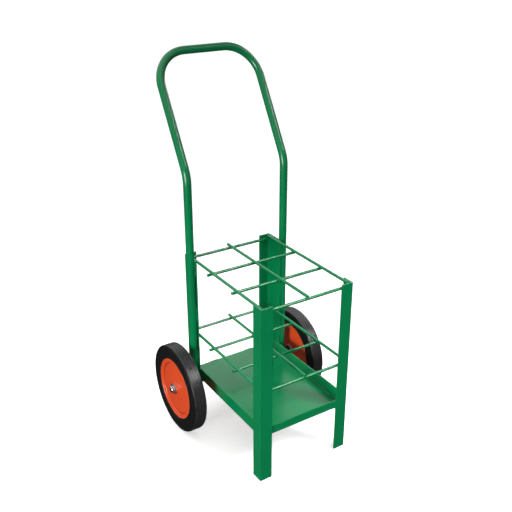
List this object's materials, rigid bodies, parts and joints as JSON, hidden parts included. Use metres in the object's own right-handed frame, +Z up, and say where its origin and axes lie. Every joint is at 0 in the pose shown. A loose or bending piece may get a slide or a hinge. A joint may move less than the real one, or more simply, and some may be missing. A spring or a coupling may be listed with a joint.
{
  "type": "gas cylinder trolley",
  "caption": "Gas cylinder trolley: a welded basket of angle iron and round rod with cells for small cylinders, on front legs and rubber-tyred wheels, with a bent tube push handle.",
  "frame": {"origin": "on the floor under the middle of the overall box", "axes": "+Z up, -Y to the front where the legs are, +Y to the handle, +X to the right as seen from the front"},
  "size_m": [0.459, 0.5084, 1.0456],
  "materials": {
    "green_enamel": "gloss enamel",
    "orange_enamel": "gloss enamel",
    "tyre": "satin",
    "black_steel": "black oxide",
    "zinc": "zinc plated",
    "chrome": "bright",
    "nylon": "natural nylon"
  },
  "bodies": {
    "frame": {"handle_tube": "green_enamel", "front_leg_left": "green_enamel", "front_leg_right": "green_enamel", "rear_post_left": "green_enamel", "rear_post_right": "green_enamel", "side_rail_left": "green_enamel", "side_rail_right": "green_enamel", "front_rail": "green_enamel", "rear_rail": "green_enamel", "tray_deck": "green_enamel", "upper_rod_left": "green_enamel", "upper_rod_middle": "green_enamel", "upper_rod_right": "green_enamel", "upper_cross_front": "green_enamel", "upper_cross_second": "green_enamel", "upper_cross_third": "green_enamel", "upper_cross_rear": "green_enamel", "lower_rod_left": "green_enamel", "lower_rod_middle": "green_enamel", "lower_rod_right": "green_enamel", "lower_cross_front": "green_enamel", "lower_cross_second": "green_enamel", "lower_cross_third": "green_enamel", "lower_cross_rear": "green_enamel", "axle": "black_steel", "collar_left": "black_steel", "collar_right": "black_steel", "inner_washer_left": "zinc", "inner_washer_right": "zinc", "outer_washer_left": "zinc", "outer_washer_right": "zinc", "axle_cap_left": "chrome", "axle_cap_right": "chrome"},
    "wheel_left": {"tyre_left": "tyre", "rim_left": "orange_enamel", "outer_disc_left": "orange_enamel", "inner_disc_left": "orange_enamel", "hub_sleeve_left": "zinc", "outer_bush_left": "nylon", "inner_bush_left": "nylon"},
    "wheel_right": {"tyre_right": "tyre", "rim_right": "orange_enamel", "outer_disc_right": "orange_enamel", "inner_disc_right": "orange_enamel", "hub_sleeve_right": "zinc", "outer_bush_right": "nylon", "inner_bush_right": "nylon"}
  },
  "joints": [
    {"name": "wheel_left_spin", "type": "hinge", "parent": "frame", "child": "wheel_left", "pos_m": [-0.199, 0.07775, 0.128], "axis": [1, 0, 0], "continuous": true},
    {"name": "wheel_right_spin", "type": "hinge", "parent": "frame", "child": "wheel_right", "pos_m": [0.199, 0.07775, 0.128], "axis": [1, 0, 0], "continuous": true}
  ]
}
